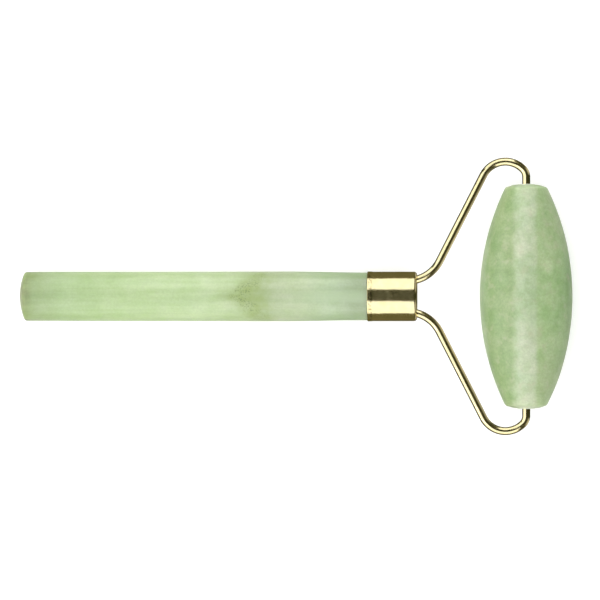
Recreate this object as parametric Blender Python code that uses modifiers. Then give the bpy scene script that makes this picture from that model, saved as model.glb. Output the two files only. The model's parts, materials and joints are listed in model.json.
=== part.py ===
"""Single-head jade face roller.

A stone rod is the handle.  A drawn metal cup caps its front end, and one bent wire stands in
the cup, potted in resin.  The wire's two arms open out, hook inwards and end in the two nylon
bushes of a barrel-shaped stone, which spins on them.

The pieces are modelled around the roller's axis: the handle runs towards -X and the axis
lies along Y.  An empty then lays the whole object on z = 0 as it rests on a table, on the
roller's belly and on the rim of the handle's tail.
"""

import math

import bmesh
import bpy

MM = 0.001
GAP = 0.3 * MM

# Handle, a rod with a domed tail and a turned spigot that goes into the cup.  It swells a
# little between its tail and its neck.
TAIL_TO_AXIS = 133.4 * MM
HANDLE_TAIL_RADIUS = 6.45 * MM
HANDLE_BELLY_RADIUS = 6.55 * MM
HANDLE_NECK_RADIUS = 6.28 * MM
BELLY_TO_NECK = 22.0 * MM
TAIL_DOME_RADIUS = 16.0 * MM
TAIL_RIM_ROUNDING = 0.5 * MM
SPIGOT_CHAMFER = 0.4 * MM

# Ferrule, the thin drawn cup.
CUP_FACE_TO_AXIS = 28.7 * MM
CUP_LENGTH = 13.0 * MM
CUP_RADIUS = 6.5 * MM
CUP_WALL = 0.3 * MM
CUP_FACE_THICKNESS = 0.5 * MM
CUP_SHOULDER = 0.75 * MM

# Fork, one wire bent in a plane.
WIRE_RADIUS = 1.05 * MM
LEG_OFFSET = 4.1 * MM
LEG_BEND_RADIUS = 9.5 * MM
ARM_ANGLE = math.radians(63.0)
HOOK_TOP = 35.4 * MM
HOOK_BEND_RADIUS = 6.5 * MM
TIP_BEND_RADIUS = 3.0 * MM
TIP_BEND_ANGLE = math.radians(45.0)
TIP_ENGAGEMENT = 10.0 * MM
YOKE_BEND_RADIUS = 2.5 * MM
YOKE_STRAIGHT = 1.0 * MM

# Potting resin around the wire's yoke, in the bottom of the cup.
RESIN_BEHIND_YOKE = 1.0 * MM

# Roller, a barrel turned on one long arc with slightly crowned ends, bored through for its
# bushes.
ROLLER_RADIUS = 12.16 * MM
ROLLER_HALF_LENGTH = 29.35 * MM
ROLLER_ARC_RADIUS = 64.5 * MM
ROLLER_END_ROUNDING = 1.2 * MM
ROLLER_END_CROWN = 0.5 * MM

# Nylon bushes, one from each end of the bore.
BUSH_RADIUS = 2.3 * MM
BUSH_LENGTH = 16.0 * MM
BUSH_PROUD = 0.15 * MM
BUSH_CHAMFER = 0.25 * MM

# How finely round shapes are divided.  The belly has an odd count, so the roller's middle is
# a narrow flat band that it rests on.
STEPS_LARGE = 64
STEPS_HANDLE = 48
STEPS_SMALL = 32
BELLY_SEGMENTS = 19
DOME_SEGMENTS = 6
SWELL_SEGMENTS = 4
ROUNDING_SEGMENTS = 5
SMALL_ROUNDING_SEGMENTS = 3
WIRE_ARC_STEP = math.radians(9.0)
WIRE_BEVEL_RESOLUTION = 4
WELD_DISTANCE = 0.00001

# Colours, linear light.
JADE = (0.50, 0.66, 0.35, 1.0)
GILT = (0.86, 0.69, 0.36, 1.0)
NYLON = (0.86, 0.88, 0.80, 1.0)
RESIN = (0.72, 0.66, 0.48, 1.0)


def clear_scene():
    """Remove the start-up objects."""
    for old in list(bpy.data.objects):
        bpy.data.objects.remove(old, do_unlink=True)


def new_collection(name):
    """Add a collection to the scene."""
    collection = bpy.data.collections.new(name)
    bpy.context.scene.collection.children.link(collection)
    return collection


def new_empty(name, collection, parent=None):
    """Add an empty, which only carries other objects."""
    empty = bpy.data.objects.new(name, None)
    empty.empty_display_size = 0.01
    empty.parent = parent
    collection.objects.link(empty)
    return empty


def new_material(name, colour, roughness, metallic=0.0):
    """Make a Principled material."""
    material = bpy.data.materials.new(name)
    material.use_nodes = True
    shader = material.node_tree.nodes["Principled BSDF"]
    shader.inputs["Base Color"].default_value = colour
    shader.inputs["Roughness"].default_value = roughness
    shader.inputs["Metallic"].default_value = metallic
    return material


def arc(centre, radius, start, end, segments):
    """Points along an arc, as (along, out) pairs, from one angle to another in degrees."""
    points = []
    for index in range(segments + 1):
        angle = math.radians(start + (end - start) * index / segments)
        along = centre[0] + radius * math.cos(angle)
        out = centre[1] + radius * math.sin(angle)
        points.append((along, out))
    return points


def turned(name, outline, steps, closed, material, collection, parent):
    """Turn an outline of (along, out) pairs around local Z.

    The outline runs from the high end to the low end down the outer side.  A closed one
    comes back up the bore, and an open one starts and ends on the axis.
    """
    count = len(outline)
    edges = [(index, index + 1) for index in range(count - 1)]
    if closed:
        edges.append((count - 1, 0))
    mesh = bpy.data.meshes.new(name)
    mesh.from_pydata([(out, 0.0, along) for along, out in outline], edges, [])
    mesh.materials.append(material)
    piece = bpy.data.objects.new(name, mesh)
    piece.parent = parent
    collection.objects.link(piece)
    screw = piece.modifiers.new("turn", "SCREW")
    screw.axis = "Z"
    screw.steps = steps
    screw.render_steps = steps
    screw.use_merge_vertices = True
    screw.merge_threshold = WELD_DISTANCE
    screw.use_smooth_shade = True
    return piece


def cut(piece, cutter):
    """Subtract the cutter from the piece."""
    boolean = piece.modifiers.new("cut", "BOOLEAN")
    boolean.operation = "DIFFERENCE"
    boolean.solver = "EXACT"
    boolean.object = cutter


def lay_along_x(piece):
    """Point the piece's own Z along +X, the way from the handle to the roller."""
    piece.rotation_euler = (0.0, math.pi / 2, 0.0)


def lay_along_y(piece):
    """Point the piece's own Z along +Y, the roller's axis."""
    piece.rotation_euler = (-math.pi / 2, 0.0, 0.0)


def spigot_end():
    """Where the spigot stops, just behind the resin."""
    return resin_back() - GAP


def resin_back():
    """Where the resin stops behind the wire's yoke."""
    return yoke_line() - WIRE_RADIUS - GAP - RESIN_BEHIND_YOKE


def yoke_line():
    """Centre line of the wire's crossbar, measured from the roller's axis."""
    return leg_bend_start() - YOKE_STRAIGHT - YOKE_BEND_RADIUS


def arm_start():
    """Where the hook's bend runs out into the straight arm."""
    turn = math.pi / 2 + ARM_ANGLE
    centre_x = -TIP_BEND_RADIUS
    centre_x += (TIP_BEND_RADIUS - HOOK_BEND_RADIUS) * math.cos(TIP_BEND_ANGLE)
    centre_y = HOOK_TOP - HOOK_BEND_RADIUS
    x = centre_x + HOOK_BEND_RADIUS * math.cos(turn)
    y = centre_y + HOOK_BEND_RADIUS * math.sin(turn)
    return x, y


def leg_bend_start():
    """Where the leg starts to bend outwards: its bend must run out into the arm's line."""
    arm_x, arm_y = arm_start()
    rise = LEG_OFFSET + LEG_BEND_RADIUS * (1.0 - math.cos(ARM_ANGLE))
    bend_end = arm_x - (arm_y - rise) / math.tan(ARM_ANGLE)
    return bend_end - LEG_BEND_RADIUS * math.sin(ARM_ANGLE)


def bend(points, heading, radius, angle):
    """Carry a route of (x, y) points on around a bend, and return the new heading."""
    x, y = points[-1]
    side = math.copysign(1.0, angle)
    centre_x = x - side * radius * math.sin(heading)
    centre_y = y + side * radius * math.cos(heading)
    count = max(2, math.ceil(abs(angle) / WIRE_ARC_STEP))
    for index in range(1, count + 1):
        turn = heading + angle * index / count
        points.append((
            centre_x + side * radius * math.sin(turn),
            centre_y - side * radius * math.cos(turn),
        ))
    return heading + angle


def half_route():
    """The wire's centre line, from one tip to the middle of the yoke."""
    tip = ROLLER_HALF_LENGTH + BUSH_PROUD - TIP_ENGAGEMENT
    tip_rise = TIP_BEND_RADIUS * math.sin(TIP_BEND_ANGLE)
    hook_rise = HOOK_BEND_RADIUS * (1.0 - math.sin(TIP_BEND_ANGLE))
    points = [(0.0, tip), (0.0, HOOK_TOP - hook_rise - tip_rise)]
    heading = bend(points, math.pi / 2, TIP_BEND_RADIUS, TIP_BEND_ANGLE)
    heading = bend(points, heading, HOOK_BEND_RADIUS, math.pi / 2 + ARM_ANGLE - TIP_BEND_ANGLE)
    rise = LEG_OFFSET + LEG_BEND_RADIUS * (1.0 - math.cos(ARM_ANGLE))
    points.append((leg_bend_start() + LEG_BEND_RADIUS * math.sin(ARM_ANGLE), rise))
    heading = bend(points, heading, LEG_BEND_RADIUS, -ARM_ANGLE)
    points.append((points[-1][0] - YOKE_STRAIGHT, LEG_OFFSET))
    bend(points, heading, YOKE_BEND_RADIUS, math.pi / 2)
    return points


def bent_wire(name, radius, collection, parent):
    """Make the whole wire, at any thickness, as a mesh."""
    upper = half_route()
    lower = [(x, -y) for x, y in reversed(upper)]
    curve = bpy.data.curves.new(name + "_route", "CURVE")
    curve.dimensions = "3D"
    curve.bevel_depth = radius
    curve.bevel_resolution = WIRE_BEVEL_RESOLUTION
    curve.use_fill_caps = True
    spline = curve.splines.new("POLY")
    spline.points.add(len(upper + lower) - 1)
    for point, (x, y) in zip(spline.points, upper + lower):
        point.co = (x, y, 0.0, 1.0)
    route = bpy.data.objects.new(name + "_route", curve)
    route.parent = parent
    collection.objects.link(route)
    bpy.context.view_layer.update()
    evaluated = route.evaluated_get(bpy.context.evaluated_depsgraph_get())
    mesh = bpy.data.meshes.new_from_object(evaluated)
    weld_caps(mesh)
    piece = bpy.data.objects.new(name, mesh)
    piece.parent = parent
    piece.matrix_world = route.matrix_world
    collection.objects.link(piece)
    bpy.data.objects.remove(route, do_unlink=True)
    return piece


def weld_caps(mesh):
    """Join a tube's loose end caps to its wall."""
    shape = bmesh.new()
    shape.from_mesh(mesh)
    bmesh.ops.remove_doubles(shape, verts=shape.verts, dist=WELD_DISTANCE)
    shape.to_mesh(mesh)
    shape.free()


def make_handle(material, collection, parent):
    """The stone rod, from its spigot in the cup to its domed tail."""
    tail = -TAIL_TO_AXIS
    shoulder = -CUP_FACE_TO_AXIS - CUP_LENGTH - GAP
    spigot = CUP_RADIUS - CUP_WALL - GAP
    rim_out = HANDLE_TAIL_RADIUS - TAIL_RIM_ROUNDING
    dome_to_rim = TAIL_DOME_RADIUS - TAIL_RIM_ROUNDING
    dome_centre = tail + TAIL_DOME_RADIUS
    lean = math.degrees(math.asin(rim_out / dome_to_rim))
    rim_along = dome_centre - dome_to_rim * math.cos(math.radians(lean))
    outline = [
        (spigot_end(), 0.0),
        (spigot_end(), spigot - SPIGOT_CHAMFER),
        (spigot_end() - SPIGOT_CHAMFER, spigot),
        (shoulder, spigot),
    ]
    for index in range(SWELL_SEGMENTS + 1):
        run = index / SWELL_SEGMENTS
        swell = (HANDLE_BELLY_RADIUS - HANDLE_NECK_RADIUS) * math.sin(run * math.pi / 2) ** 2
        outline.append((shoulder - BELLY_TO_NECK * run, HANDLE_NECK_RADIUS + swell))
    rim = (rim_along, rim_out)
    outline += arc(rim, TAIL_RIM_ROUNDING, 90.0, 180.0 - lean, ROUNDING_SEGMENTS)
    dome = arc((dome_centre, 0.0), TAIL_DOME_RADIUS, 180.0 - lean, 180.0, DOME_SEGMENTS)
    outline += dome[1:-1] + [(tail, 0.0)]
    piece = turned("jade_handle", outline, STEPS_HANDLE, False, material, collection, parent)
    lay_along_x(piece)
    return piece


def make_ferrule(material, cutter, collection, parent):
    """The drawn cup, open towards the handle, with a hole for each leg of the wire."""
    face = -CUP_FACE_TO_AXIS
    mouth = face - CUP_LENGTH
    bore = CUP_RADIUS - CUP_WALL
    inner_shoulder = CUP_SHOULDER - CUP_WALL
    floor = face - CUP_FACE_THICKNESS
    outer = (face - CUP_SHOULDER, CUP_RADIUS - CUP_SHOULDER)
    inner = (floor - inner_shoulder, bore - inner_shoulder)
    outline = [(face, 0.0)]
    outline += arc(outer, CUP_SHOULDER, 0.0, 90.0, ROUNDING_SEGMENTS)
    outline += [(mouth, CUP_RADIUS), (mouth, bore)]
    outline += arc(inner, inner_shoulder, 90.0, 0.0, SMALL_ROUNDING_SEGMENTS)
    outline += [(floor, 0.0)]
    piece = turned("ferrule", outline, STEPS_LARGE, False, material, collection, parent)
    lay_along_x(piece)
    cut(piece, cutter)
    return piece


def make_resin(material, cutter, collection, parent):
    """The potting resin that fills the cup around the wire's yoke."""
    front = -CUP_FACE_TO_AXIS - CUP_FACE_THICKNESS - GAP
    outer = CUP_RADIUS - CUP_WALL - GAP
    outline = [(front, 0.0)]
    outline += [(front, outer - SPIGOT_CHAMFER), (front - SPIGOT_CHAMFER, outer)]
    outline += [(resin_back(), outer), (resin_back(), 0.0)]
    piece = turned("resin_plug", outline, STEPS_HANDLE, False, material, collection, parent)
    lay_along_x(piece)
    cut(piece, cutter)
    return piece


def make_roller(material, collection, parent):
    """The barrel stone with its through bore."""
    rounding = ROLLER_END_ROUNDING
    end = ROLLER_HALF_LENGTH
    bore = BUSH_RADIUS + GAP
    arc_centre = ROLLER_RADIUS - ROLLER_ARC_RADIUS
    round_along = end - ROLLER_END_CROWN - rounding
    reach = ROLLER_ARC_RADIUS - rounding
    lean = math.degrees(math.asin(round_along / reach))
    round_out = arc_centre + reach * math.cos(math.radians(lean))
    belly = arc((0.0, arc_centre), ROLLER_ARC_RADIUS, 90.0 - lean, 90.0 + lean, BELLY_SEGMENTS)
    outline = arc((round_along, round_out), rounding, 0.0, 90.0 - lean, ROUNDING_SEGMENTS)
    outline += belly[1:-1]
    outline += arc((-round_along, round_out), rounding, 90.0 + lean, 180.0, ROUNDING_SEGMENTS)
    outline += [(-end, bore), (end, bore)]
    piece = turned("roller_stone", outline, STEPS_LARGE, True, material, collection, parent)
    lay_along_y(piece)
    return piece


def make_bush(name, side, material, collection, parent):
    """One nylon sleeve, standing a little proud of the stone's end."""
    outer_end = ROLLER_HALF_LENGTH + BUSH_PROUD
    inner_end = outer_end - BUSH_LENGTH
    bore = WIRE_RADIUS + GAP
    outline = [
        (outer_end, bore),
        (outer_end, BUSH_RADIUS - BUSH_CHAMFER),
        (outer_end - BUSH_CHAMFER, BUSH_RADIUS),
        (inner_end + BUSH_CHAMFER, BUSH_RADIUS),
        (inner_end, BUSH_RADIUS - BUSH_CHAMFER),
        (inner_end, bore),
    ]
    if side < 0:
        outline = [(-along, out) for along, out in reversed(outline)]
    piece = turned(name, outline, STEPS_SMALL, True, material, collection, parent)
    lay_along_y(piece)
    return piece


def lay_on_table(empty):
    """Tip the object until it rests on the roller's belly and the tail's rim."""
    rim = TAIL_TO_AXIS - TAIL_DOME_RADIUS
    rim += math.sqrt(
        (TAIL_DOME_RADIUS - TAIL_RIM_ROUNDING) ** 2
        - (HANDLE_TAIL_RADIUS - TAIL_RIM_ROUNDING) ** 2
    )
    drop = math.asin(ROLLER_RADIUS / math.hypot(rim, HANDLE_TAIL_RADIUS))
    tip = drop - math.atan2(HANDLE_TAIL_RADIUS, rim)
    tail_end = TAIL_DOME_RADIUS + (TAIL_TO_AXIS - TAIL_DOME_RADIUS) * math.cos(tip)
    empty.rotation_euler = (0.0, -tip, 0.0)
    empty.location = ((tail_end - ROLLER_RADIUS) / 2, 0.0, ROLLER_RADIUS)


def build():
    """Make every piece."""
    clear_scene()
    parts = new_collection("jade_face_roller")
    cutters = new_collection("cutters")
    jade = new_material("jade", JADE, 0.25)
    gilt = new_material("gilt", GILT, 0.15, metallic=1.0)
    nylon = new_material("nylon", NYLON, 0.45)
    resin = new_material("resin", RESIN, 0.4)

    resting = new_empty("resting_pose", parts)
    lay_on_table(resting)
    axle = new_empty("roller_axle", parts, parent=resting)

    channel = bent_wire("wire_channel", WIRE_RADIUS + GAP, cutters, resting)
    channel.hide_render = True
    channel.display_type = "WIRE"

    fork = bent_wire("fork_wire", WIRE_RADIUS, parts, resting)
    fork.data.materials.append(gilt)
    fork.data.shade_smooth()
    make_handle(jade, parts, resting)
    make_ferrule(gilt, channel, parts, resting)
    make_resin(resin, channel, parts, resting)
    make_roller(jade, parts, axle)
    make_bush("bush_left", 1, nylon, parts, axle)
    make_bush("bush_right", -1, nylon, parts, axle)


build()
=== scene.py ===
"""The looks of the single-head jade face roller.

Every piece is built around the roller's axis, as the CAD pieces are: the handle runs towards
-X and the axle lies along Y.  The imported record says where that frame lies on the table, and
each finished piece is placed there and rides on its body.
"""

import json
import math

import bmesh
import bpy
from mathutils import Matrix, Vector, noise


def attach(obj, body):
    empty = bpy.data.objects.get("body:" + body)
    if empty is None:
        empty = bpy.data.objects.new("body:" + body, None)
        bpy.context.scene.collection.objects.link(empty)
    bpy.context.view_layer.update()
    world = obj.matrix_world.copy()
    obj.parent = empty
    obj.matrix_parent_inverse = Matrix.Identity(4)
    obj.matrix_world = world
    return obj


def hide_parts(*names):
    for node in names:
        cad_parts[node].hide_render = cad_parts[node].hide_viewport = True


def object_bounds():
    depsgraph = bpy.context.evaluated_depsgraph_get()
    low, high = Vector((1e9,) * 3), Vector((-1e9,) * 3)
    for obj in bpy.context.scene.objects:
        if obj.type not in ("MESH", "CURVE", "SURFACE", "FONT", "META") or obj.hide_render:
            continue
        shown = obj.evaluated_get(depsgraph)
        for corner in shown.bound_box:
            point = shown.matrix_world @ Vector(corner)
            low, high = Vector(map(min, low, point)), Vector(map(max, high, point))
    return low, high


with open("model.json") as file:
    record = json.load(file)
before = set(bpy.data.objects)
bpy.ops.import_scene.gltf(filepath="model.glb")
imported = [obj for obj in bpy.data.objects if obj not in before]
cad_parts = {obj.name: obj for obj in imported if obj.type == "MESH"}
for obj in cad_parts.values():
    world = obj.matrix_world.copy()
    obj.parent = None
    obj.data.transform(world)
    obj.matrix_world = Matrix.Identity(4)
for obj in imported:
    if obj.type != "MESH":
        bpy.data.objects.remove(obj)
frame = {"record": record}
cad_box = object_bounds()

MM = 0.001

# Handle.
TAIL_TO_AXIS = 133.4 * MM
HANDLE_TAIL_RADIUS = 6.45 * MM
HANDLE_BELLY_RADIUS = 6.55 * MM
HANDLE_NECK_RADIUS = 6.28 * MM
BELLY_TO_NECK = 22.0 * MM
TAIL_DOME_RADIUS = 16.0 * MM
TAIL_RIM_ROUNDING = 0.9 * MM

# Ferrule.
CUP_FACE_TO_AXIS = 28.7 * MM
CUP_LENGTH = 13.0 * MM
CUP_RADIUS = 6.5 * MM
CUP_WALL = 0.3 * MM
CUP_FACE_THICKNESS = 0.5 * MM
CUP_SHOULDER = 0.75 * MM
LEG_HOLE_CLEARANCE = 0.06 * MM
CUP_LIP_RISE = 0.06 * MM
CUP_LIP_WIDTH = 0.8 * MM
CUP_LIP_SLOPE = 0.8 * MM

# Fork.
WIRE_RADIUS = 1.05 * MM
WIRE_CHAMFER = 0.25 * MM
LEG_OFFSET = 4.1 * MM
LEG_BEND_RADIUS = 9.5 * MM
ARM_ANGLE = math.radians(63.0)
HOOK_TOP = 35.4 * MM
HOOK_BEND_RADIUS = 6.5 * MM
TIP_BEND_RADIUS = 3.0 * MM
TIP_BEND_ANGLE = math.radians(45.0)
TIP_ENGAGEMENT = 10.0 * MM
YOKE_BEND_RADIUS = 2.5 * MM
YOKE_STRAIGHT = 1.0 * MM
RESIN_BEHIND_YOKE = 1.0 * MM

# Roller and bushes.
ROLLER_RADIUS = 12.16 * MM
ROLLER_HALF_LENGTH = 29.35 * MM
ROLLER_ARC_RADIUS = 64.5 * MM
ROLLER_END_ROUNDING = 1.2 * MM
ROLLER_END_CROWN = 0.5 * MM
BUSH_RADIUS = 2.3 * MM
BUSH_LENGTH = 16.0 * MM
BUSH_PROUD = 0.15 * MM
BUSH_ROUNDING = 0.15 * MM
BUSH_CLEARANCE = 0.1 * MM

# The gap at glued surfaces, and how far hand polishing strays from true.
GLUE_LINE = 0.02 * MM
HANDLE_WAVE = 0.05 * MM
ROLLER_WAVE = 0.07 * MM

# Marks in the stones, in millimetres.  Places are from the roller's axis.
HANDLE_TINTS_START = -133.0
HANDLE_TINTS_LENGTH = 91.0
SAWN_TAIL = -131.6
SEAM_TO_AXIS = 77.8
SEAM_LEAN = 1.15
MOSS_END_TO_AXIS = 69.3
MOSS_END_LEAN = 0.25
STAIN_TO_AXIS = 40.9
ROLLER_TINTS_WIDTH = 25.0

# Camera: a long lens, a little off the middle of the object.
FIELD = 157.6 * MM
LENS = 300.0
SENSOR = 36.0
CAMERA_SHIFT_X = 1.15 * MM
CAMERA_SHIFT_Y = -0.95 * MM

# Studio.
FLOOR_REACH = 0.57
FLOOR_COLOUR = (0.93, 0.93, 0.93, 1.0)
FLOOR_GLOW = 0.18
AMBIENT = (0.35, 0.35, 0.35)
DARK_ROOM = (0.14, 0.127, 0.06)
DARK_CEILING = (0.038, 0.038, 0.014)
PALE_CARDS = (0.68, 0.65, 0.57)
PANEL_RADIANCE = 1.32
SIDE_PANEL_LENGTH = 0.84
SIDE_PANEL_TOP = 0.94
SIDE_PANEL_X = -0.18
LEFT_PANEL_SIZE = (0.70, 0.976)
LEFT_PANEL_PLACE = (-0.36, 0.0, 0.425)
LEFT_PANEL_AIM = (0.0, 0.0, 0.2217)
STRIP_HEIGHT = 0.09
STRIP_WIDTH = 0.16
STRIP_AIM_HEIGHT = 0.01
SIDE_STRIP_LENGTH = 0.9
SIDE_STRIP_X = -0.05
SIDE_STRIP_APART = 0.6
LEFT_STRIP_LENGTH = 0.7
LEFT_STRIP_X = -0.55
LEFT_STRIP_AIM_X = 0.06
LEFT_STRIP_RADIANCE = 5.0
FILL_SIZE = (1.4, 1.4)
FILL_PLACE = (-0.05, 0.0, 1.35)
FILL_RADIANCE = 2.05

# How finely round shapes are divided.
STEPS_ROD = 128
STEPS_BUSH = 64
STEPS_WIRE = 40
WIRE_ARC_STEP = math.radians(3.0)
SHARP_ANGLE = math.radians(35.0)


# ---------------------------------------------------------------- places from the record

def resting_matrix():
    """The frame in which the pieces are built: on the roller's axis, X along the handle."""
    record = frame["record"]
    grip = record["mounts"][0]
    joint = record["behaviour"]["joints"][0]
    forward = -Vector(grip["axis"]).normalized()
    side = Vector(joint["axis"]).normalized()
    up = forward.cross(side)
    lie = Matrix((forward, side, up)).transposed().to_4x4()
    lie.translation = Vector(joint["pos_m"])
    return lie


LIE = resting_matrix()


# ---------------------------------------------------------------- shapes

def arc(centre, radius, start, end, segments):
    """Points along an arc, as (along, out) pairs, from one angle to another in degrees."""
    points = []
    for index in range(segments + 1):
        angle = math.radians(start + (end - start) * index / segments)
        along = centre[0] + radius * math.cos(angle)
        out = centre[1] + radius * math.sin(angle)
        points.append((along, out))
    return points


def line(start, end, segments):
    """Points along a straight line, both ends included."""
    points = []
    for index in range(segments + 1):
        share = index / segments
        points.append((
            start[0] + (end[0] - start[0]) * share,
            start[1] + (end[1] - start[1]) * share,
        ))
    return points


def joined(*stretches):
    """One outline from several stretches, without the points where they meet twice."""
    outline = []
    for stretch in stretches:
        for point in stretch:
            if not outline or math.dist(point, outline[-1]) > 1e-7:
                outline.append(point)
    return outline


def revolve(name, outline, steps, axis, closed=False):
    """Turn an outline of (along, out) pairs around local X or Y.

    A closed outline comes back up a bore.  An open one starts and ends on the axis.
    """
    shape = bmesh.new()
    rings = []
    for along, out in outline:
        if out < 1e-9:
            rings.append([shape.verts.new(on_axis(axis, along, 0.0, 0.0))])
            continue
        ring = []
        for step in range(steps):
            turn = 2.0 * math.pi * step / steps
            place = on_axis(axis, along, out * math.cos(turn), out * math.sin(turn))
            ring.append(shape.verts.new(place))
        rings.append(ring)
    pairs = list(zip(rings, rings[1:]))
    if closed:
        pairs.append((rings[-1], rings[0]))
    for first, second in pairs:
        join_rings(shape, first, second, steps)
    return finished(name, shape)


def on_axis(axis, along, first, second):
    """A point given along the axis and in the two directions across it."""
    if axis == "X":
        return (along, first, second)
    return (first, along, second)


def join_rings(shape, first, second, steps):
    """Faces between two rings, either of which may be a single point."""
    for step in range(steps):
        after = (step + 1) % steps
        if len(first) == 1:
            shape.faces.new((first[0], second[step], second[after]))
        elif len(second) == 1:
            shape.faces.new((first[step], second[0], first[after]))
        else:
            shape.faces.new((first[step], second[step], second[after], first[after]))


def finished(name, shape):
    """Make an object of a bmesh, with its faces out and shaded smooth."""
    bmesh.ops.recalc_face_normals(shape, faces=shape.faces)
    mesh = bpy.data.meshes.new(name)
    shape.to_mesh(mesh)
    shape.free()
    mesh.shade_smooth()
    mesh.set_sharp_from_angle(angle=SHARP_ANGLE)
    piece = bpy.data.objects.new(name, mesh)
    bpy.context.scene.collection.objects.link(piece)
    return piece


def bend(points, heading, radius, angle):
    """Carry a route of (x, y) points on around a bend, and return the new heading."""
    x, y = points[-1]
    side = math.copysign(1.0, angle)
    centre_x = x - side * radius * math.sin(heading)
    centre_y = y + side * radius * math.cos(heading)
    count = max(2, math.ceil(abs(angle) / WIRE_ARC_STEP))
    for index in range(1, count + 1):
        turn = heading + angle * index / count
        points.append((
            centre_x + side * radius * math.sin(turn),
            centre_y - side * radius * math.cos(turn),
        ))
    return heading + angle


def run_on(points, end, spacing):
    """Carry a route straight on to a point, with points along the way."""
    start = points[-1]
    count = max(1, round(math.dist(start, end) / spacing))
    points.extend(line(start, end, count)[1:])


def arm_start():
    """Where the hook's bend runs out into the straight arm."""
    turn = math.pi / 2 + ARM_ANGLE
    centre_x = -TIP_BEND_RADIUS
    centre_x += (TIP_BEND_RADIUS - HOOK_BEND_RADIUS) * math.cos(TIP_BEND_ANGLE)
    centre_y = HOOK_TOP - HOOK_BEND_RADIUS
    x = centre_x + HOOK_BEND_RADIUS * math.cos(turn)
    y = centre_y + HOOK_BEND_RADIUS * math.sin(turn)
    return x, y


def leg_rise():
    """How far from the middle the leg's bend ends."""
    return LEG_OFFSET + LEG_BEND_RADIUS * (1.0 - math.cos(ARM_ANGLE))


def leg_bend_start():
    """Where the leg starts to bend outwards: its bend must run out into the arm's line."""
    arm_x, arm_y = arm_start()
    bend_end = arm_x - (arm_y - leg_rise()) / math.tan(ARM_ANGLE)
    return bend_end - LEG_BEND_RADIUS * math.sin(ARM_ANGLE)


def half_route():
    """The wire's centre line, from one tip to the middle of the yoke."""
    spacing = 1.0 * MM
    tip = ROLLER_HALF_LENGTH + BUSH_PROUD - TIP_ENGAGEMENT
    tip_rise = TIP_BEND_RADIUS * math.sin(TIP_BEND_ANGLE)
    hook_rise = HOOK_BEND_RADIUS * (1.0 - math.sin(TIP_BEND_ANGLE))
    points = [(0.0, tip)]
    run_on(points, (0.0, HOOK_TOP - hook_rise - tip_rise), spacing)
    heading = bend(points, math.pi / 2, TIP_BEND_RADIUS, TIP_BEND_ANGLE)
    heading = bend(points, heading, HOOK_BEND_RADIUS, math.pi / 2 + ARM_ANGLE - TIP_BEND_ANGLE)
    leg_bend_end = leg_bend_start() + LEG_BEND_RADIUS * math.sin(ARM_ANGLE)
    run_on(points, (leg_bend_end, leg_rise()), spacing)
    heading = bend(points, heading, LEG_BEND_RADIUS, -ARM_ANGLE)
    run_on(points, (points[-1][0] - YOKE_STRAIGHT, LEG_OFFSET), spacing)
    heading = bend(points, heading, YOKE_BEND_RADIUS, math.pi / 2)
    run_on(points, (points[-1][0], 0.0), spacing)
    return points


def whole_route():
    """The wire's centre line from the left tip to the right one."""
    left = half_route()
    return left + [(x, -y) for x, y in reversed(left[:-1])]


def yoke_line():
    """Centre line of the wire's crossbar, measured from the roller's axis."""
    return leg_bend_start() - YOKE_STRAIGHT - YOKE_BEND_RADIUS


def resin_back():
    """Where the resin stops behind the wire's yoke, and the handle's spigot ends."""
    return yoke_line() - WIRE_RADIUS - RESIN_BEHIND_YOKE


def make_tube(name, route, radius):
    """Sweep a round section along a flat route, with chamfered ends."""
    shape = bmesh.new()
    rings = []
    last = len(route) - 1
    for index, (x, y) in enumerate(route):
        middle = Vector((x, y))
        before = Vector(route[max(index - 1, 0)])
        after = Vector(route[min(index + 1, last)])
        along = (after - before).normalized()
        across = Vector((-along.y, along.x))
        places = [(middle, radius)]
        if index == 0:
            places = [(middle, radius - WIRE_CHAMFER), (middle + along * WIRE_CHAMFER, radius)]
        elif index == last:
            places = [(middle - along * WIRE_CHAMFER, radius), (middle, radius - WIRE_CHAMFER)]
        for place, size in places:
            ring = []
            for step in range(STEPS_WIRE):
                turn = 2.0 * math.pi * step / STEPS_WIRE
                out = place + across * (size * math.cos(turn))
                ring.append(shape.verts.new((out.x, out.y, size * math.sin(turn))))
            rings.append(ring)
    for first, second in zip(rings, rings[1:]):
        join_rings(shape, first, second, STEPS_WIRE)
    shape.faces.new(rings[0])
    shape.faces.new(rings[-1])
    return finished(name, shape)


def cut(piece, cutter):
    """Subtract the cutter from the piece and apply the result to its mesh."""
    boolean = piece.modifiers.new("cut", "BOOLEAN")
    boolean.operation = "DIFFERENCE"
    boolean.solver = "EXACT"
    boolean.object = cutter
    bpy.context.view_layer.update()
    evaluated = piece.evaluated_get(bpy.context.evaluated_depsgraph_get())
    mesh = bpy.data.meshes.new_from_object(evaluated)
    mesh.name = piece.name
    piece.modifiers.clear()
    piece.data = mesh
    mesh.shade_smooth()
    mesh.set_sharp_from_angle(angle=SHARP_ANGLE)


def cut_for_wire(piece, clearance):
    """Cut the wire's whole route out of a piece."""
    cutter = make_tube("wire_cutter", whole_route(), WIRE_RADIUS + clearance)
    cut(piece, cutter)
    bpy.data.objects.remove(cutter, do_unlink=True)


def roughen(piece, depth, wave, share):
    """Move the surface in and out along its normals, as hand polishing leaves stone.

    The share says how much of the depth a spot gets.
    """
    vertices = piece.data.vertices
    places = [vertex.co.copy() for vertex in vertices]
    outwards = [vertex.normal.copy() for vertex in vertices]
    for vertex, spot, outward in zip(vertices, places, outwards):
        sample = Vector(spot[i] / wave[i] for i in range(3))
        vertex.co = spot + outward * (noise.noise(sample) * depth * share(spot))


# ---------------------------------------------------------------- materials

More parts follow.
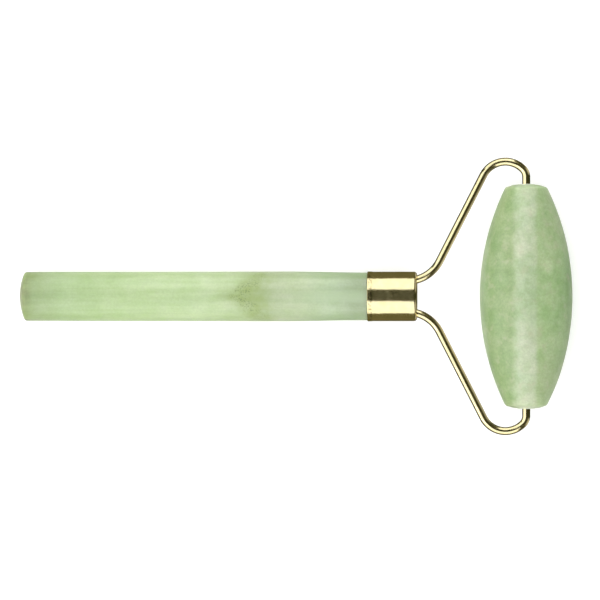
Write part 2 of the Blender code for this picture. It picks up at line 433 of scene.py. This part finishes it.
def add(tree, kind, inputs=None, **settings):
    """Add a shader node.  An input is a value, or the socket that it comes from."""
    new = tree.nodes.new(kind)
    for name, value in settings.items():
        setattr(new, name, value)
    for name, value in (inputs or {}).items():
        if isinstance(value, bpy.types.NodeSocket):
            tree.links.new(value, new.inputs[name])
        else:
            new.inputs[name].default_value = value
    return new


def mix(tree, factor, first, second, blend_type="MIX"):
    """Mix two colours."""
    new = add(tree, "ShaderNodeMix", data_type="RGBA", blend_type=blend_type)
    for index, value in ((0, factor), (6, first), (7, second)):
        if isinstance(value, bpy.types.NodeSocket):
            tree.links.new(value, new.inputs[index])
        elif index == 0:
            new.inputs[index].default_value = value
        else:
            new.inputs[index].default_value = (*value, 1.0)
    return new.outputs[2]


def maths(tree, operation, first, second=0.0, third=0.0):
    """One sum."""
    new = add(tree, "ShaderNodeMath", operation=operation)
    for index, value in enumerate((first, second, third)):
        if isinstance(value, bpy.types.NodeSocket):
            tree.links.new(value, new.inputs[index])
        else:
            new.inputs[index].default_value = value
    return new.outputs[0]


def times(tree, first, second):
    """One value times another."""
    return maths(tree, "MULTIPLY", first, second)


def scaled(tree, value, factor, offset):
    """A value times a factor, plus an offset."""
    return maths(tree, "MULTIPLY_ADD", value, factor, offset)


def absolute(tree, value):
    """A value without its sign."""
    return maths(tree, "ABSOLUTE", value)


def ramp(tree, factor, stops, interpolation="EASE"):
    """A colour ramp.  Stops are (place, colour) or (place, grey) pairs."""
    new = add(tree, "ShaderNodeValToRGB", {"Fac": factor})
    band = new.color_ramp
    band.interpolation = interpolation
    while len(band.elements) < len(stops):
        band.elements.new(1.0)
    for element, (place, colour) in zip(band.elements, stops):
        element.position = place
        if isinstance(colour, float):
            colour = (colour, colour, colour)
        element.color = (*colour, 1.0)
    return new.outputs["Color"]


def smooth(tree, value, low, high):
    """From 0 at low to 1 at high, smoothly."""
    inputs = {"Value": value, "From Min": low, "From Max": high}
    new = add(tree, "ShaderNodeMapRange", inputs, interpolation_type="SMOOTHSTEP")
    return new.outputs["Result"]


def millimetres(tree, stretch=(1.0, 1.0, 1.0)):
    """The piece's own coordinates in millimetres, stretched where a grain needs it."""
    place = add(tree, "ShaderNodeTexCoord").outputs["Object"]
    scale = [1000.0 * share for share in stretch]
    inputs = {0: place, 1: scale}
    return add(tree, "ShaderNodeVectorMath", inputs, operation="MULTIPLY").outputs[0]


def parts_of(tree, vector):
    """The X, Y and Z of a vector."""
    new = add(tree, "ShaderNodeSeparateXYZ", {"Vector": vector})
    return new.outputs["X"], new.outputs["Y"], new.outputs["Z"]


def clouds(tree, place, scale, detail=3.0, roughness=0.5, distortion=0.0):
    """Noise from 0 to 1, mostly near a half."""
    inputs = {
        "Vector": place,
        "Scale": scale,
        "Detail": detail,
        "Roughness": roughness,
        "Distortion": distortion,
    }
    return add(tree, "ShaderNodeTexNoise", inputs).outputs["Fac"]


def tinted(tree, colour, share, noise_value, low, high):
    """Multiply a colour by a tint that follows a noise from low to high."""
    tint = ramp(tree, noise_value, ((0.35, low), (0.65, high)))
    return mix(tree, share, colour, tint, "MULTIPLY")


def roughness_of(tree, shader, noise_value, spread, base):
    """Give the shader a roughness that follows a noise."""
    rough = scaled(tree, noise_value, spread, base)
    tree.links.new(rough, shader.inputs["Roughness"])


def bumped(tree, shader, height, distance):
    """Give the shader a bump."""
    bump = add(tree, "ShaderNodeBump", {"Height": height, "Distance": distance})
    tree.links.new(bump.outputs["Normal"], shader.inputs["Normal"])


def new_material(name):
    """An empty Principled material, its tree and its shader."""
    material = bpy.data.materials.new(name)
    material.use_nodes = True
    tree = material.node_tree
    return material, tree, tree.nodes["Principled BSDF"]


def set_jade(shader, scale):
    """What both stones share: light goes into them and comes out nearby."""
    shader.subsurface_method = "RANDOM_WALK"
    shader.inputs["Subsurface Weight"].default_value = 1.0
    shader.inputs["Subsurface Radius"].default_value = (1.0, 1.1, 0.8)
    shader.inputs["Subsurface Scale"].default_value = scale
    shader.inputs["IOR"].default_value = 1.65
    shader.inputs["Sheen Weight"].default_value = 0.2
    shader.inputs["Sheen Roughness"].default_value = 0.4


def handle_tints_and_cup_shade(tree, along, wander):
    """The handle's colour from its tail, at 0, to the ferrule's mouth, at 1, with painted shade
    in its last stop next to the cup.
    """
    start = -HANDLE_TINTS_START / HANDLE_TINTS_LENGTH
    share = scaled(tree, along, 1.0 / HANDLE_TINTS_LENGTH, start)
    share = scaled(tree, wander, 0.05, share)
    return ramp(tree, share, (
        (0.0, (0.165, 0.19, 0.09)),
        (0.02, (0.235, 0.295, 0.135)),
        (0.04, (0.29, 0.37, 0.19)),
        (0.12, (0.345, 0.45, 0.24)),
        (0.23, (0.365, 0.475, 0.245)),
        (0.38, (0.41, 0.515, 0.285)),
        (0.52, (0.43, 0.53, 0.31)),
        (0.64, (0.405, 0.495, 0.285)),
        (0.70, (0.365, 0.44, 0.26)),
        (0.75, (0.385, 0.455, 0.285)),
        (0.81, (0.415, 0.485, 0.315)),
        (0.90, (0.375, 0.465, 0.30)),
        # Painted shade where the handle goes into the cup.
        (0.97, (0.295, 0.365, 0.23)),
    ), "LINEAR")


def handle_front(tree, colour, along, aside, level):
    """Past the seam the rod's flanks, as seen from above, get painted shade in a darker green,
    and a pale vein runs down its middle.
    """
    past_seam = smooth(tree, along, -66.0, -52.0)
    # Painted shade: darker green where the rod's sides turn away from above.
    shaded_flank = times(tree, smooth(tree, level, 5.6, 1.5), past_seam)
    colour = mix(tree, times(tree, shaded_flank, 0.7), colour, (0.275, 0.375, 0.205))
    vein = times(tree, smooth(tree, aside, 2.4, 0.3), past_seam)
    return mix(tree, times(tree, vein, 0.6), colour, (0.46, 0.55, 0.39))


def past_sheet(tree, along, aside, wander, to_axis, lean, stray):
    """Millimetres past two sheets that meet in an upright edge, nearest to the tail."""
    past = scaled(tree, aside, -lean, to_axis)
    past = maths(tree, "ADD", past, along)
    return scaled(tree, wander, stray, past)


def mossy_seam(tree, colour, place, along, aside, level, wander):
    """Patchy moss from the seam to where it ends, weaker on the flanks, with dark specks."""
    past_seam = past_sheet(tree, along, aside, wander, SEAM_TO_AXIS, SEAM_LEAN, 4.0)
    past_end = past_sheet(tree, along, aside, wander, MOSS_END_TO_AXIS, MOSS_END_LEAN, 8.0)
    moss = times(tree, smooth(tree, past_seam, -4.3, 2.6), smooth(tree, past_end, 3.5, -3.5))
    patchy = smooth(tree, clouds(tree, place, 0.5, detail=5.0, roughness=0.6), 0.30, 0.65)
    moss = times(tree, moss, scaled(tree, patchy, 0.35, 0.5))
    moss = times(tree, moss, scaled(tree, smooth(tree, level, 1.0, 4.5), 0.45, 0.55))
    colour = mix(tree, moss, colour, (0.27, 0.35, 0.12))

    stray = scaled(tree, clouds(tree, place, 0.9, detail=3.0), 6.0, -5.0)
    depth = absolute(tree, maths(tree, "ADD", stray, past_seam))
    speck = smooth(tree, clouds(tree, place, 2.5, detail=2.0, roughness=0.6), 0.49, 0.66)
    speck = times(tree, speck, smooth(tree, depth, 3.8, 0.2))
    speck = times(tree, speck, scaled(tree, smooth(tree, aside, 5.5, 2.0), 0.5, 0.5))
    return mix(tree, times(tree, speck, 0.8), colour, (0.14, 0.20, 0.07))


def handle_jade():
    """Pale green stone: yellower at the tail, a mossy seam, greyer and streaked past it, with
    painted shade on its flanks and next to the cup.
    """
    material, tree, shader = new_material("handle_jade")
    place = millimetres(tree)
    along, across, up = parts_of(tree, place)
    aside = absolute(tree, across)
    level = absolute(tree, up)
    wander = maths(tree, "SUBTRACT", clouds(tree, place, 0.3, detail=4.0), 0.5)

    colour = handle_tints_and_cup_shade(tree, along, wander)
    streak = clouds(tree, millimetres(tree, (0.06, 1.0, 1.0)), 0.9, detail=4.0)
    colour = tinted(tree, colour, 0.6, streak, (0.91, 0.94, 0.89), (1.08, 1.05, 1.10))
    cloud = clouds(tree, place, 0.22, detail=5.0, distortion=0.4)
    colour = tinted(tree, colour, 0.6, cloud, (0.92, 0.95, 0.88), (1.07, 1.05, 1.12))
    fine = clouds(tree, place, 1.6, detail=4.0, roughness=0.7)
    colour = tinted(tree, colour, 0.6, fine, 0.92, 1.08)
    colour = handle_front(tree, colour, along, aside, level)
    colour = mossy_seam(tree, colour, place, along, aside, level, wander)
    tree.links.new(colour, shader.inputs["Base Color"])

    set_jade(shader, 4.0 * MM)
    sawn = smooth(tree, along, SAWN_TAIL, SAWN_TAIL - 1.2)
    base = scaled(tree, sawn, 0.35, 0.25)
    grain = clouds(tree, millimetres(tree, (0.3, 1.0, 1.0)), 1.2, detail=5.0)
    roughness_of(tree, shader, grain, 0.14, base)
    bumped(tree, shader, clouds(tree, place, 2.0, detail=4.0), 0.004 * MM)
    return material


def roller_bands_and_painted_light(tree, across, wander):
    """The roller's colour from the side near the handle, at 0, to the far side, at 1: its own
    bands, with a painted pale rim on the handle's side and painted shade towards the far side.
    """
    layer = maths(tree, "ADD", across, wander)
    share = scaled(tree, layer, 1.0 / ROLLER_TINTS_WIDTH, 0.5)
    return ramp(tree, share, (
        # Painted light: the first stop is a pale rim, lit from the handle's side.
        (0.03, (0.33, 0.42, 0.24)),
        (0.12, (0.235, 0.33, 0.15)),
        (0.34, (0.255, 0.345, 0.16)),
        (0.50, (0.35, 0.44, 0.24)),
        (0.70, (0.37, 0.485, 0.26)),
        # Painted shade: the last stops darken towards the far side.
        (0.85, (0.32, 0.445, 0.22)),
        (0.98, (0.25, 0.38, 0.17)),
    ))


def painted_bush_light(tree, colour, across, outward, wander):
    """Painted light: the white bush seen through the stone, as a pale band in line with the
    bore; and a deeper green past it towards the ends.
    """
    edge = scaled(tree, wander, 0.2, across)
    # Painted light of the bush seen through the stone: soft on the handle's side, sharp on the
    # far side, fainter towards the ends.
    band = times(tree, smooth(tree, edge, -4.4, -1.3), smooth(tree, edge, 3.4, 2.0))
    fade = scaled(tree, smooth(tree, outward, 18.0, 28.0), -0.2, 0.72)
    colour = mix(tree, times(tree, band, fade), colour, (0.45, 0.52, 0.365))
    deep = times(tree, smooth(tree, outward, 9.0, 22.0), smooth(tree, across, 1.5, 5.5))
    return mix(tree, times(tree, deep, 0.55), colour, (0.25, 0.35, 0.16))


def roller_jade():
    """Satin green stone, cloudy, with small pinkish spots; its side-to-side bands carry a
    painted pale rim and painted shade, and a painted pale band is the bush seen through it.
    """
    material, tree, shader = new_material("roller_jade")
    place = millimetres(tree)
    across, along, _ = parts_of(tree, place)
    outward = absolute(tree, along)
    wander = clouds(tree, millimetres(tree, (1.0, 0.5, 1.0)), 0.2, detail=4.0)
    wander = scaled(tree, wander, 5.0, -2.5)

    colour = roller_bands_and_painted_light(tree, across, wander)
    colour = painted_bush_light(tree, colour, across, outward, wander)
    mottle = clouds(tree, place, 0.35, detail=5.0, roughness=0.55)
    colour = tinted(tree, colour, 0.7, mottle, (0.86, 0.91, 0.82), (1.14, 1.09, 1.18))
    cloud = clouds(tree, place, 0.13, detail=3.0)
    colour = tinted(tree, colour, 1.0, cloud, (0.91, 0.96, 0.90), (1.09, 1.04, 1.10))
    fine = clouds(tree, place, 1.7, detail=5.0, roughness=0.75)
    colour = tinted(tree, colour, 0.7, fine, 0.88, 1.12)
    spots = smooth(tree, clouds(tree, place, 0.5, detail=3.0, roughness=0.5), 0.52, 0.75)
    colour = mix(tree, times(tree, spots, 0.4), colour, (0.46, 0.45, 0.32))
    tree.links.new(colour, shader.inputs["Base Color"])

    set_jade(shader, 3.0 * MM)
    roughness_of(tree, shader, clouds(tree, place, 1.5, detail=5.0), 0.15, 0.30)
    bumped(tree, shader, clouds(tree, place, 3.0, detail=4.0), 0.006 * MM)
    return material


def gilt_metal():
    """Pale gold plating, polished, with dull stains where the glue stops at the cup's mouth."""
    material, tree, shader = new_material("gilt_plating")
    place = millimetres(tree)
    along, _, _ = parts_of(tree, place)
    tarnish = clouds(tree, place, 0.35, detail=4.0)
    colour = ramp(tree, tarnish, ((0.3, (0.84, 0.745, 0.43)), (0.7, (0.90, 0.80, 0.49))))
    from_mouth = absolute(tree, maths(tree, "ADD", along, STAIN_TO_AXIS))
    stain = smooth(tree, clouds(tree, place, 1.3, detail=3.0), 0.42, 0.62)
    stain = times(tree, stain, smooth(tree, from_mouth, 0.7, 0.2))
    colour = mix(tree, times(tree, stain, 0.65), colour, (0.30, 0.24, 0.10))
    tree.links.new(colour, shader.inputs["Base Color"])
    shader.inputs["Metallic"].default_value = 1.0
    smear = clouds(tree, place, 1.4, detail=5.0, roughness=0.6)
    roughness_of(tree, shader, smear, 0.10, 0.10)
    dents = clouds(tree, place, 0.5, detail=3.0, roughness=0.4)
    bumped(tree, shader, dents, 0.04 * MM)
    return material


def white_nylon():
    """White nylon, painted a dim green for the shade and the green light it gets inside the
    stone, with a faint grain.
    """
    material, tree, shader = new_material("natural_nylon")
    place = millimetres(tree)
    tone = clouds(tree, place, 1.2)
    # Painted shade and green light from the stone, not the nylon's own colour.
    colour = ramp(tree, tone, ((0.3, (0.62, 0.68, 0.53)), (0.7, (0.72, 0.77, 0.63))))
    tree.links.new(colour, shader.inputs["Base Color"])
    roughness_of(tree, shader, clouds(tree, place, 4.0), 0.15, 0.38)
    bumped(tree, shader, clouds(tree, place, 5.0), 0.005 * MM)
    return material


def amber_resin():
    """Set epoxy."""
    material, tree, shader = new_material("amber_epoxy")
    place = millimetres(tree)
    tone = clouds(tree, place, 0.6)
    colour = ramp(tree, tone, ((0.3, (0.62, 0.52, 0.30)), (0.7, (0.75, 0.68, 0.48))))
    tree.links.new(colour, shader.inputs["Base Color"])
    roughness_of(tree, shader, clouds(tree, place, 2.0), 0.15, 0.2)
    return material


# ---------------------------------------------------------------- pieces

def make_handle():
    """The stone rod, from its spigot in the cup to its domed tail."""
    shoulder = -CUP_FACE_TO_AXIS - CUP_LENGTH - 3 * GLUE_LINE
    spigot = CUP_RADIUS - CUP_WALL - GLUE_LINE
    chamfer = 0.4 * MM
    end = resin_back() - GLUE_LINE
    neck_round = 0.15 * MM
    rim_out = HANDLE_TAIL_RADIUS - TAIL_RIM_ROUNDING
    dome_to_rim = TAIL_DOME_RADIUS - TAIL_RIM_ROUNDING
    dome_centre = TAIL_DOME_RADIUS - TAIL_TO_AXIS
    lean = math.degrees(math.asin(rim_out / dome_to_rim))
    rim_along = dome_centre - dome_to_rim * math.cos(math.radians(lean))
    swell = []
    for along, share in line((shoulder - neck_round, 0.0), (shoulder - BELLY_TO_NECK, 1.0), 20):
        rise = (HANDLE_BELLY_RADIUS - HANDLE_NECK_RADIUS) * math.sin(share * math.pi / 2) ** 2
        swell.append((along, HANDLE_NECK_RADIUS + rise))
    neck_centre = (shoulder - neck_round, HANDLE_NECK_RADIUS - neck_round)
    outline = joined(
        [(end, 0.0), (end, spigot - chamfer), (end - chamfer, spigot), (shoulder, spigot)],
        arc(neck_centre, neck_round, 45.0, 90.0, 2),
        swell,
        line(swell[-1], (rim_along, HANDLE_TAIL_RADIUS), 60),
        arc((rim_along, rim_out), TAIL_RIM_ROUNDING, 90.0, 180.0 - lean, 8),
        arc((dome_centre, 0.0), TAIL_DOME_RADIUS, 180.0 - lean, 180.0, 14)[:-1],
        [(-TAIL_TO_AXIS, 0.0)],
    )
    piece = revolve("handle_rod", outline, STEPS_ROD, "X")
    fade = 6.0 * MM

    def share(spot):
        return min(1.0, max(0.0, (shoulder - spot.x) / fade))

    roughen(piece, HANDLE_WAVE, (22.0 * MM, 8.0 * MM, 8.0 * MM), share)
    return piece


def cup_outside():
    """The cup's outside from its shoulder to its mouth, where it swells to a faint lip."""
    mouth = -CUP_FACE_TO_AXIS - CUP_LENGTH
    soft = 0.08 * MM
    before_edge = 0.02 * MM
    lip = CUP_RADIUS + CUP_LIP_RISE
    wall_end = mouth + CUP_LIP_WIDTH + CUP_LIP_SLOPE
    shoulder_end = -CUP_FACE_TO_AXIS - CUP_SHOULDER
    slope = []
    for along, share in line((wall_end, 0.0), (mouth + CUP_LIP_WIDTH, 1.0), 10):
        rise = CUP_LIP_RISE * math.sin(share * math.pi / 2) ** 2
        slope.append((along, CUP_RADIUS + rise))
    return joined(
        line((shoulder_end, CUP_RADIUS), (wall_end, CUP_RADIUS), 16),
        slope,
        line((mouth + CUP_LIP_WIDTH, lip), (mouth + soft + before_edge, lip), 8),
        arc((mouth + soft, lip - soft), soft, 90.0, 180.0, 6),
    )


def make_ferrule():
    """The drawn cup, with a rolled lip at its mouth and a tight hole for each leg."""
    face = -CUP_FACE_TO_AXIS
    bore = CUP_RADIUS - CUP_WALL
    inner_shoulder = CUP_SHOULDER - CUP_WALL
    floor = face - CUP_FACE_THICKNESS
    outer = (face - CUP_SHOULDER, CUP_RADIUS - CUP_SHOULDER)
    inner = (floor - inner_shoulder, bore - inner_shoulder)
    outline = joined(
        [(face, 0.0)],
        line((face, 0.6 * MM), (face, outer[1]), 6),
        arc(outer, CUP_SHOULDER, 0.0, 90.0, 14),
        cup_outside(),
        [(face - CUP_LENGTH, bore)],
        arc(inner, inner_shoulder, 90.0, 0.0, 8),
        [(floor, 0.0)],
    )
    piece = revolve("gilt_ferrule", outline, STEPS_ROD, "X")
    cut_for_wire(piece, LEG_HOLE_CLEARANCE)
    return piece


def make_resin():
    """The resin that fills the cup around the wire's yoke."""
    front = -CUP_FACE_TO_AXIS - CUP_FACE_THICKNESS - GLUE_LINE
    outer = CUP_RADIUS - CUP_WALL - GLUE_LINE
    chamfer = 0.45 * MM
    outline = joined(
        [(front, 0.0), (front, outer - chamfer), (front - chamfer, outer)],
        [(resin_back(), outer), (resin_back(), 0.0)],
    )
    piece = revolve("epoxy_plug", outline, STEPS_BUSH, "X")
    cut_for_wire(piece, GLUE_LINE)
    return piece


def make_barrel():
    """The barrel stone: one long arc, softly crowned ends and a through bore."""
    rounding = ROLLER_END_ROUNDING
    end = ROLLER_HALF_LENGTH
    bore = BUSH_RADIUS + GLUE_LINE
    bore_round = 0.2 * MM
    arc_centre = ROLLER_RADIUS - ROLLER_ARC_RADIUS
    round_along = end - ROLLER_END_CROWN - rounding
    reach = ROLLER_ARC_RADIUS - rounding
    lean = math.degrees(math.asin(round_along / reach))
    round_out = arc_centre + reach * math.cos(math.radians(lean))
    edge = arc((round_along, round_out), rounding, 90.0 - lean, 8.0, 12)
    crown = []
    for out, share in line((edge[-1][1], 0.0), (bore + bore_round, 1.0), 6):
        rise = (end - edge[-1][0]) * math.sin(share * math.pi / 2)
        crown.append((edge[-1][0] + rise, out))
    half = joined(
        arc((0.0, arc_centre), ROLLER_ARC_RADIUS, 90.0, 90.0 - lean, 48),
        edge,
        crown,
        arc((end - bore_round, bore + bore_round), bore_round, 0.0, -90.0, 5),
    )
    other = [(-along, out) for along, out in half]
    bore_wall = line((end - bore_round, bore), (-end + bore_round, bore), 24)
    outline = joined(half, bore_wall, other[::-1])
    piece = revolve("barrel_stone", outline[:-1], STEPS_ROD, "Y", closed=True)

    def share(spot):
        return 1.0 if math.hypot(spot.x, spot.z) > 2 * bore else 0.0

    roughen(piece, ROLLER_WAVE, (10.0 * MM, 14.0 * MM, 10.0 * MM), share)
    return piece


def make_bush(name, side):
    """One nylon sleeve with softened edges, a little proud of the stone's end."""
    outer_end = ROLLER_HALF_LENGTH + BUSH_PROUD
    inner_end = outer_end - BUSH_LENGTH
    bore = WIRE_RADIUS + BUSH_CLEARANCE
    soft = BUSH_ROUNDING
    outline = joined(
        arc((outer_end - soft, bore + soft), soft, 270.0, 360.0, 4),
        arc((outer_end - soft, BUSH_RADIUS - soft), soft, 0.0, 90.0, 4),
        line((outer_end - soft, BUSH_RADIUS), (inner_end + soft, BUSH_RADIUS), 12),
        arc((inner_end + soft, BUSH_RADIUS - soft), soft, 90.0, 180.0, 4),
        [(inner_end, bore)],
    )
    outline = [(side * along, out) for along, out in outline]
    return revolve(name, outline, STEPS_BUSH, "Y", closed=True)


def settle(piece, body, node, material):
    """Put a finished piece where its CAD node is, on its body."""
    piece.data.materials.clear()
    piece.data.materials.append(material)
    piece.matrix_world = LIE
    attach(piece, body)
    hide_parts(node)


def build_fork():
    """The wire, the handle, the ferrule and the resin, which stay together."""
    gilt = gilt_metal()
    fork = make_tube("bent_fork", whole_route(), WIRE_RADIUS)
    settle(fork, "fork", "fork_wire", gilt)
    settle(make_handle(), "fork", "jade_handle", handle_jade())
    settle(make_ferrule(), "fork", "ferrule", gilt)
    settle(make_resin(), "fork", "resin_plug", amber_resin())


def build_roller():
    """The stone and its two bushes.  The stone isn't seen in the metal's reflections."""
    nylon = white_nylon()
    barrel = make_barrel()
    barrel.visible_glossy = False
    settle(barrel, "roller", "roller_stone", roller_jade())
    settle(make_bush("nylon_bush_left", 1), "roller", "bush_left", nylon)
    settle(make_bush("nylon_bush_right", -1), "roller", "bush_right", nylon)


# ---------------------------------------------------------------- studio

def make_floor():
    """A plain pale table."""
    material, _, shader = new_material("pale_table")
    shader.inputs["Base Color"].default_value = FLOOR_COLOUR
    shader.inputs["Roughness"].default_value = 0.9
    shader.inputs["Specular IOR Level"].default_value = 0.0
    shader.inputs["Emission Color"].default_value = (1.0, 1.0, 1.0, 1.0)
    shader.inputs["Emission Strength"].default_value = FLOOR_GLOW
    shape = bmesh.new()
    bmesh.ops.create_grid(shape, x_segments=1, y_segments=1, size=FLOOR_REACH)
    mesh = bpy.data.meshes.new("floor")
    shape.to_mesh(mesh)
    shape.free()
    mesh.materials.append(material)
    floor = bpy.data.objects.new("floor", mesh)
    bpy.context.scene.collection.objects.link(floor)
    floor.visible_glossy = False


def make_light(name, location, aim, size, radiance, glossy=True, diffuse=True):
    """A rectangular soft light of a given radiance, which the camera doesn't see.

    A light that isn't glossy stays out of the reflections; one that isn't diffuse only shows
    in them.
    """
    data = bpy.data.lights.new(name, "AREA")
    data.shape = "RECTANGLE"
    data.size, data.size_y = size
    data.energy = radiance * math.pi * size[0] * size[1]
    light = bpy.data.objects.new(name, data)
    bpy.context.scene.collection.objects.link(light)
    light.location = location
    light.rotation_euler = (Vector(aim) - Vector(location)).to_track_quat("-Z", "Y").to_euler()
    light.visible_camera = False
    light.visible_glossy = glossy
    light.visible_diffuse = diffuse


def make_side_lights():
    """On each side a panel that the metal reflects, and a low strip that lights the stones."""
    for name, side, apart, low, strip_radiance in (
        ("front", -1, 0.38, 0.04, 0.6),
        ("back", 1, 0.60, 0.0, 2.0),
    ):
        middle = (SIDE_PANEL_TOP + low) / 2
        make_light(
            f"{name}_panel", (SIDE_PANEL_X, side * apart, middle), (SIDE_PANEL_X, 0.0, middle),
            (SIDE_PANEL_LENGTH, SIDE_PANEL_TOP - low), PANEL_RADIANCE,
        )
        make_light(
            f"{name}_strip", (SIDE_STRIP_X, side * SIDE_STRIP_APART, STRIP_HEIGHT),
            (SIDE_STRIP_X, 0.0, STRIP_AIM_HEIGHT), (SIDE_STRIP_LENGTH, STRIP_WIDTH),
            strip_radiance, glossy=False,
        )


def make_lights():
    """The lights at both sides, a panel and a strip past the tail, and a fill above."""
    make_side_lights()
    make_light(
        "left_panel", LEFT_PANEL_PLACE, LEFT_PANEL_AIM, LEFT_PANEL_SIZE, PANEL_RADIANCE,
        diffuse=False,
    )
    make_light(
        "left_strip", (LEFT_STRIP_X, 0.0, STRIP_HEIGHT),
        (LEFT_STRIP_AIM_X, 0.0, STRIP_AIM_HEIGHT), (LEFT_STRIP_LENGTH, STRIP_WIDTH),
        LEFT_STRIP_RADIANCE, glossy=False,
    )
    make_light("fill", FILL_PLACE, (0.0, 0.0, 0.0), FILL_SIZE, FILL_RADIANCE, glossy=False)


def reflected_room(tree):
    """What the metal reflects: a dark warm room, darkest overhead and at both ends.

    Two pale cards stand beyond the roller, one on each side.
    """
    heading = add(tree, "ShaderNodeTexCoord").outputs["Generated"]
    forward, sideways, upward = parts_of(tree, heading)
    overhead = smooth(tree, upward, 0.6, 0.95)
    endways = smooth(tree, absolute(tree, forward), 0.15, 0.6)
    room = mix(tree, maths(tree, "MAXIMUM", overhead, endways), DARK_ROOM, DARK_CEILING)
    aside = absolute(tree, sideways)
    cards = times(tree, smooth(tree, aside, 0.12, 0.3), smooth(tree, aside, 0.75, 0.5))
    cards = times(tree, cards, smooth(tree, forward, 0.2, 0.5))
    cards = times(tree, cards, smooth(tree, upward, 0.8, -0.2))
    return mix(tree, cards, room, PALE_CARDS)


def make_world():
    """White for the camera, grey for the light on the stones, a dark room in reflections."""
    world = bpy.data.worlds.new("studio")
    bpy.context.scene.world = world
    world.use_nodes = True
    tree = world.node_tree
    path = add(tree, "ShaderNodeLightPath")
    colour = mix(tree, path.outputs["Is Camera Ray"], AMBIENT, (1.0, 1.0, 1.0))
    colour = mix(tree, path.outputs["Is Glossy Ray"], colour, reflected_room(tree))
    tree.links.new(colour, tree.nodes["Background"].inputs["Color"])


def make_camera():
    """Looks straight down, with the handle to the left."""
    low, high = cad_box
    data = bpy.data.cameras.new("camera")
    data.lens = LENS
    data.sensor_width = SENSOR
    camera = bpy.data.objects.new("camera", data)
    bpy.context.scene.collection.objects.link(camera)
    height = LIE.translation.z + FIELD * LENS / SENSOR
    middle_x = (low[0] + high[0]) / 2
    camera.location = (middle_x + CAMERA_SHIFT_X, CAMERA_SHIFT_Y, height)
    camera.rotation_euler = (0.0, 0.0, 0.0)
    bpy.context.scene.camera = camera


build_fork()
build_roller()
make_floor()
make_lights()
make_world()
make_camera()
bpy.context.scene.view_settings.view_transform = "Standard"
